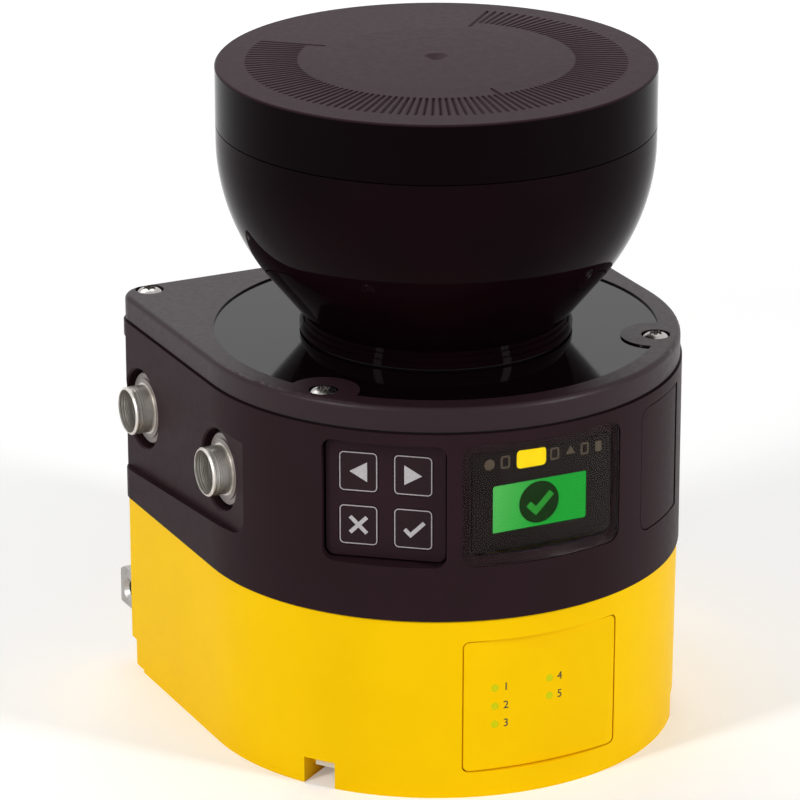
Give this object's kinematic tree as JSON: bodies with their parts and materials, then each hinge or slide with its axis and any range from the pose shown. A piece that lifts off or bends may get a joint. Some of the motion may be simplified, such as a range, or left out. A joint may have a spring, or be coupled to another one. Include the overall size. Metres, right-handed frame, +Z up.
{
  "type": "safety laser scanner",
  "caption": "Compact D-shaped safety laser scanner with a bowl-shaped optics hood, keypad, small display, hinged service flap and side cable connectors.",
  "frame": {"origin": "on the flat base plane, under the vertical scan axis of the hood", "axes": "+Z up along the scan axis, -Y to the round front with the display, -X to the side with the cable connectors"},
  "size_m": [0.1141, 0.116, 0.1559],
  "materials": {
    "yellow_plastic": "satin",
    "black_plastic": "satin",
    "black_plate": "satin",
    "dark_polycarbonate": "polished",
    "black_lid": "satin",
    "black_rubber": "matte",
    "screw_steel": "turned",
    "connector_nickel": "turned",
    "insert_plastic": "matte",
    "board_green": "satin",
    "clear_window": "polished",
    "screen_green": "satin",
    "mask_black": "satin",
    "amber_light": "satin",
    "led_lens": "satin",
    "key_plastic": "satin",
    "motor_aluminium": "machined",
    "bearing_steel": "polished",
    "mirror_coating": "polished",
    "lens_glass": "polished",
    "encoder_metal": "machined",
    "lug_steel": "machined",
    "plug_white": "matte"
  },
  "bodies": {
    "housing": {"lower_housing": "yellow_plastic", "housing_seal": "black_rubber", "upper_housing": "black_plastic", "plate_seal": "black_rubber", "top_plate": "black_plate", "plate_screws": "screw_steel", "base_screws": "screw_steel", "optics_cover": "dark_polycarbonate", "neck_seal": "black_rubber", "hood_lid": "black_lid", "receiver_tube": "motor_aluminium", "receiver_lens": "lens_glass", "laser_module": "motor_aluminium", "motor_stator": "motor_aluminium", "motor_bearings": "bearing_steel", "keypad_panel": "black_plastic", "keypad_board": "board_green", "display_window": "clear_window", "display_mask": "mask_black", "display_screen": "screen_green", "display_board": "board_green", "status_lights": "amber_light", "flap_pin": "screw_steel", "usb_socket": "connector_nickel", "front_connector": "connector_nickel", "rear_connector": "connector_nickel", "connector_inserts": "insert_plastic", "connector_seals": "black_rubber", "connector_nuts": "connector_nickel", "led_panel": "yellow_plastic", "led_lights": "led_lens", "led_board": "board_green", "mounting_lugs": "lug_steel", "vent_plug": "plug_white", "main_board": "board_green"},
    "rotor": {"rotor_hub": "motor_aluminium", "scan_mirror": "mirror_coating", "encoder_disc": "encoder_metal"},
    "left_key": {"key_left": "key_plastic"},
    "right_key": {"key_right": "key_plastic"},
    "cancel_key": {"key_cancel": "key_plastic"},
    "ok_key": {"key_ok": "key_plastic"},
    "flap": {"service_flap": "black_plastic"}
  },
  "joints": [
    {"name": "rotor_spin", "type": "hinge", "parent": "housing", "child": "rotor", "pos_m": [0, 0, 0.1], "axis": [0, 0, 1], "continuous": true},
    {"name": "left_key_press", "type": "slide", "parent": "housing", "child": "left_key", "axis": [0.6211, 0.7837, 0], "range_m": [0, 0.0004], "stiffness_N_per_m": 2500},
    {"name": "right_key_press", "type": "slide", "parent": "housing", "child": "right_key", "axis": [0.6211, 0.7837, 0], "range_m": [0, 0.0004], "stiffness_N_per_m": 2500},
    {"name": "cancel_key_press", "type": "slide", "parent": "housing", "child": "cancel_key", "axis": [0.6211, 0.7837, 0], "range_m": [0, 0.0004], "stiffness_N_per_m": 2500},
    {"name": "ok_key_press", "type": "slide", "parent": "housing", "child": "ok_key", "axis": [0.6211, 0.7837, 0], "range_m": [0, 0.0004], "stiffness_N_per_m": 2500},
    {"name": "flap_hinge", "type": "hinge", "parent": "housing", "child": "flap", "pos_m": [0.04091, -0.03637, 0.0692], "axis": [0, 0, 1], "range_deg": [0, 85]}
  ]
}
